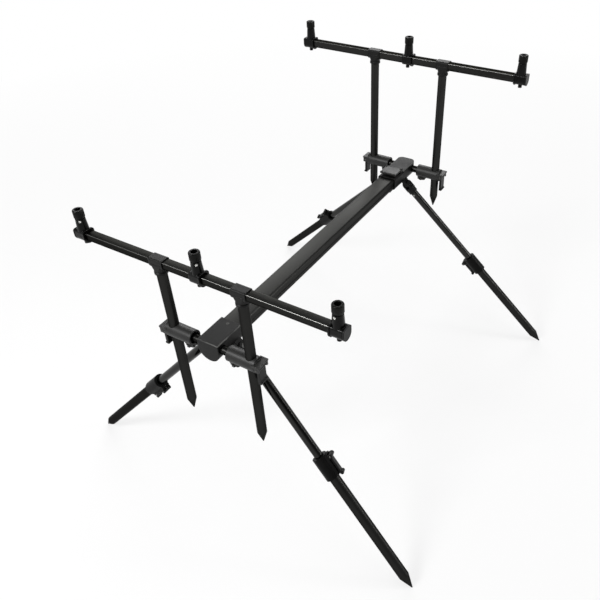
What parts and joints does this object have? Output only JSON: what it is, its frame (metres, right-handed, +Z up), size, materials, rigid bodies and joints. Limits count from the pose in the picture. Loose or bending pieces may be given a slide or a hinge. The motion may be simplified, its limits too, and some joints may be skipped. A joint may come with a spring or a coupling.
{
  "type": "rod pod",
  "caption": "Folding rod pod: telescopic flat beam on clamp-adjusted spiked legs, with tilting upright frames whose buzz bars carry sliding threaded alarm rests.",
  "frame": {"origin": "on the ground, at the middle of the box around the standing pod", "axes": "+Z up; +Y along the beam from the low rear bar to the tall front bar; +X to the right"},
  "size_m": [0.7408, 0.7352, 0.6558],
  "materials": {
    "satin_tube": "satin black anodised",
    "black_moulded": "fine matt moulded",
    "steel": "blackened steel"
  },
  "bodies": {
    "base": {"main_beam": "satin_tube", "rear_head": "black_moulded", "head_screw": "steel", "lock_collar": "black_moulded", "rear_axle": "satin_tube", "rear_hinge_pins": "steel"},
    "front_carriage": {"inner_beam": "satin_tube", "front_head": "black_moulded", "front_axle": "satin_tube", "front_hinge_pins": "steel"},
    "lock_lever": {"lock_lever": "black_moulded"},
    "leg_rear_left_upper": {"leg_knuckle_rear_left": "black_moulded", "leg_upper_tube_rear_left": "satin_tube"},
    "leg_rear_left_lower": {"leg_clamp_rear_left": "black_moulded", "leg_lower_tube_rear_left": "satin_tube"},
    "leg_rear_left_lever": {"leg_lever_rear_left": "black_moulded"},
    "leg_rear_right_upper": {"leg_knuckle_rear_right": "black_moulded", "leg_upper_tube_rear_right": "satin_tube"},
    "leg_rear_right_lower": {"leg_clamp_rear_right": "black_moulded", "leg_lower_tube_rear_right": "satin_tube"},
    "leg_rear_right_lever": {"leg_lever_rear_right": "black_moulded"},
    "leg_front_left_upper": {"leg_knuckle_front_left": "black_moulded", "leg_upper_tube_front_left": "satin_tube"},
    "leg_front_left_lower": {"leg_clamp_front_left": "black_moulded", "leg_lower_tube_front_left": "satin_tube"},
    "leg_front_left_lever": {"leg_lever_front_left": "black_moulded"},
    "leg_front_right_upper": {"leg_knuckle_front_right": "black_moulded", "leg_upper_tube_front_right": "satin_tube"},
    "leg_front_right_lower": {"leg_clamp_front_right": "black_moulded", "leg_lower_tube_front_right": "satin_tube"},
    "leg_front_right_lever": {"leg_lever_front_right": "black_moulded"},
    "rear_sleeves": {"rear_sleeves": "black_moulded"},
    "rear_frame": {"rear_uprights": "satin_tube", "rear_upright_spikes": "satin_tube", "rear_tee_collars": "black_moulded", "rear_buzz_bar": "satin_tube", "rear_bar_caps": "black_moulded"},
    "sleeve_rear_left_lever": {"sleeve_lever_rear_left": "black_moulded"},
    "sleeve_rear_right_lever": {"sleeve_lever_rear_right": "black_moulded"},
    "rear_rest_left": {"rest_rear_left": "black_moulded"},
    "rear_ring_left": {"lock_ring_rear_left": "black_moulded"},
    "rear_rest_middle": {"rest_rear_middle": "black_moulded"},
    "rear_ring_middle": {"lock_ring_rear_middle": "black_moulded"},
    "rear_rest_right": {"rest_rear_right": "black_moulded"},
    "rear_ring_right": {"lock_ring_rear_right": "black_moulded"},
    "front_sleeves": {"front_sleeves": "black_moulded"},
    "front_frame": {"front_uprights": "satin_tube", "front_upright_spikes": "satin_tube", "front_tee_collars": "black_moulded", "front_buzz_bar": "satin_tube", "front_bar_caps": "black_moulded"},
    "sleeve_front_left_lever": {"sleeve_lever_front_left": "black_moulded"},
    "sleeve_front_right_lever": {"sleeve_lever_front_right": "black_moulded"},
    "front_rest_left": {"rest_front_left": "black_moulded"},
    "front_ring_left": {"lock_ring_front_left": "black_moulded"},
    "front_rest_middle": {"rest_front_middle": "black_moulded"},
    "front_ring_middle": {"lock_ring_front_middle": "black_moulded"},
    "front_rest_right": {"rest_front_right": "black_moulded"},
    "front_ring_right": {"lock_ring_front_right": "black_moulded"}
  },
  "joints": [
    {"name": "beam_slide", "type": "slide", "parent": "base", "child": "front_carriage", "axis": [0, 1, 0], "range_m": [0, 0.3]},
    {"name": "lock_lever_flip", "type": "hinge", "parent": "base", "child": "lock_lever", "pos_m": [0.021, 0.23866, 0.3996], "axis": [-1, 0, 0], "range_deg": [0, 100]},
    {"name": "leg_rear_left_fold", "type": "hinge", "parent": "base", "child": "leg_rear_left_upper", "pos_m": [-0.0046, -0.32114, 0.3633], "axis": [0.7466, 0, -0.6652], "range_deg": [0, 94]},
    {"name": "leg_rear_left_slide", "type": "slide", "parent": "leg_rear_left_upper", "child": "leg_rear_left_lower", "axis": [0.6636, 0.0698, 0.7448], "range_m": [-0.03, 0.12]},
    {"name": "leg_rear_left_lever_flip", "type": "hinge", "parent": "leg_rear_left_lower", "child": "leg_rear_left_lever", "pos_m": [-0.1369, -0.33649, 0.18729], "axis": [0.0464, -0.9976, 0.0521], "range_deg": [0, 110]},
    {"name": "leg_rear_right_fold", "type": "hinge", "parent": "base", "child": "leg_rear_right_upper", "pos_m": [0.04661, -0.32114, 0.3633], "axis": [0.7466, 0, 0.6652], "range_deg": [0, 94]},
    {"name": "leg_rear_right_slide", "type": "slide", "parent": "leg_rear_right_upper", "child": "leg_rear_right_lower", "axis": [-0.6636, 0.0698, 0.7448], "range_m": [-0.03, 0.12]},
    {"name": "leg_rear_right_lever_flip", "type": "hinge", "parent": "leg_rear_right_lower", "child": "leg_rear_right_lever", "pos_m": [0.20483, -0.32736, 0.20953], "axis": [0.3331, -0.8639, 0.3777], "range_deg": [0, 110]},
    {"name": "leg_front_left_fold", "type": "hinge", "parent": "front_carriage", "child": "leg_front_left_upper", "pos_m": [-0.0046, 0.25286, 0.3633], "axis": [-0.7046, 0, 0.7096], "range_deg": [0, 102.2]},
    {"name": "leg_front_left_slide", "type": "slide", "parent": "leg_front_left_upper", "child": "leg_front_left_lower", "axis": [0.6935, -0.2113, 0.6887], "range_m": [-0.03, 0.12]},
    {"name": "leg_front_left_lever_flip", "type": "hinge", "parent": "leg_front_left_lower", "child": "leg_front_left_lever", "pos_m": [-0.19766, 0.30159, 0.19581], "axis": [-0.1001, 0.9185, 0.3826], "range_deg": [0, 110]},
    {"name": "leg_front_right_fold", "type": "hinge", "parent": "front_carriage", "child": "leg_front_right_upper", "pos_m": [0.04661, 0.25286, 0.3633], "axis": [-0.7466, 0, -0.6652], "range_deg": [0, 98.5]},
    {"name": "leg_front_right_slide", "type": "slide", "parent": "leg_front_right_upper", "child": "leg_front_right_lower", "axis": [-0.6579, -0.1478, 0.7384], "range_m": [-0.03, 0.12]},
    {"name": "leg_front_right_lever_flip", "type": "hinge", "parent": "leg_front_right_lower", "child": "leg_front_right_lever", "pos_m": [0.18042, 0.28599, 0.1856], "axis": [-0.0983, 0.989, 0.1104], "range_deg": [0, 110]},
    {"name": "rear_frame_tilt", "type": "hinge", "parent": "base", "child": "rear_sleeves", "pos_m": [0.021, -0.35514, 0.3834], "axis": [-1, 0, 0], "range_deg": [-5, 70]},
    {"name": "rear_frame_height", "type": "slide", "parent": "rear_sleeves", "child": "rear_frame", "axis": [0, 0, 1], "range_m": [-0.08, 0.12]},
    {"name": "sleeve_rear_left_lever_flip", "type": "hinge", "parent": "rear_sleeves", "child": "sleeve_rear_left_lever", "pos_m": [-0.06799, -0.35514, 0.3829], "axis": [0, 1, 0], "range_deg": [0, 95]},
    {"name": "sleeve_rear_right_lever_flip", "type": "hinge", "parent": "rear_sleeves", "child": "sleeve_rear_right_lever", "pos_m": [0.11001, -0.35514, 0.3829], "axis": [0, -1, 0], "range_deg": [0, 95]},
    {"name": "rear_rest_left_slide", "type": "slide", "parent": "rear_frame", "child": "rear_rest_left", "axis": [1, 0, 0], "range_m": [0, 0.11]},
    {"name": "rear_ring_left_turn", "type": "hinge", "parent": "rear_rest_left", "child": "rear_ring_left", "pos_m": [-0.202, -0.35514, 0.5453], "axis": [0, 0, 1], "continuous": true},
    {"name": "rear_rest_middle_slide", "type": "slide", "parent": "rear_frame", "child": "rear_rest_middle", "axis": [1, 0, 0], "range_m": [-0.03, 0.03]},
    {"name": "rear_ring_middle_turn", "type": "hinge", "parent": "rear_rest_middle", "child": "rear_ring_middle", "pos_m": [0.021, -0.35514, 0.5453], "axis": [0, 0, 1], "continuous": true},
    {"name": "rear_rest_right_slide", "type": "slide", "parent": "rear_frame", "child": "rear_rest_right", "axis": [-1, 0, 0], "range_m": [0, 0.11]},
    {"name": "rear_ring_right_turn", "type": "hinge", "parent": "rear_rest_right", "child": "rear_ring_right", "pos_m": [0.244, -0.35514, 0.5453], "axis": [0, 0, 1], "continuous": true},
    {"name": "front_frame_tilt", "type": "hinge", "parent": "front_carriage", "child": "front_sleeves", "pos_m": [0.021, 0.28686, 0.3834], "axis": [1, 0, 0], "range_deg": [-2, 70]},
    {"name": "front_frame_height", "type": "slide", "parent": "front_sleeves", "child": "front_frame", "axis": [0, 0, 1], "range_m": [-0.18, 0.02]},
    {"name": "sleeve_front_left_lever_flip", "type": "hinge", "parent": "front_sleeves", "child": "sleeve_front_left_lever", "pos_m": [-0.06799, 0.28686, 0.3829], "axis": [0, 1, 0], "range_deg": [0, 95]},
    {"name": "sleeve_front_right_lever_flip", "type": "hinge", "parent": "front_sleeves", "child": "sleeve_front_right_lever", "pos_m": [0.11001, 0.28686, 0.3829], "axis": [0, -1, 0], "range_deg": [0, 95]},
    {"name": "front_rest_left_slide", "type": "slide", "parent": "front_frame", "child": "front_rest_left", "axis": [1, 0, 0], "range_m": [0, 0.11]},
    {"name": "front_ring_left_turn", "type": "hinge", "parent": "front_rest_left", "child": "front_ring_left", "pos_m": [-0.202, 0.28686, 0.6478], "axis": [0, 0, 1], "continuous": true},
    {"name": "front_rest_middle_slide", "type": "slide", "parent": "front_frame", "child": "front_rest_middle", "axis": [1, 0, 0], "range_m": [-0.03, 0.03]},
    {"name": "front_ring_middle_turn", "type": "hinge", "parent": "front_rest_middle", "child": "front_ring_middle", "pos_m": [0.021, 0.28686, 0.6478], "axis": [0, 0, 1], "continuous": true},
    {"name": "front_rest_right_slide", "type": "slide", "parent": "front_frame", "child": "front_rest_right", "axis": [-1, 0, 0], "range_m": [0, 0.11]},
    {"name": "front_ring_right_turn", "type": "hinge", "parent": "front_rest_right", "child": "front_ring_right", "pos_m": [0.244, 0.28686, 0.6478], "axis": [0, 0, 1], "continuous": true}
  ]
}
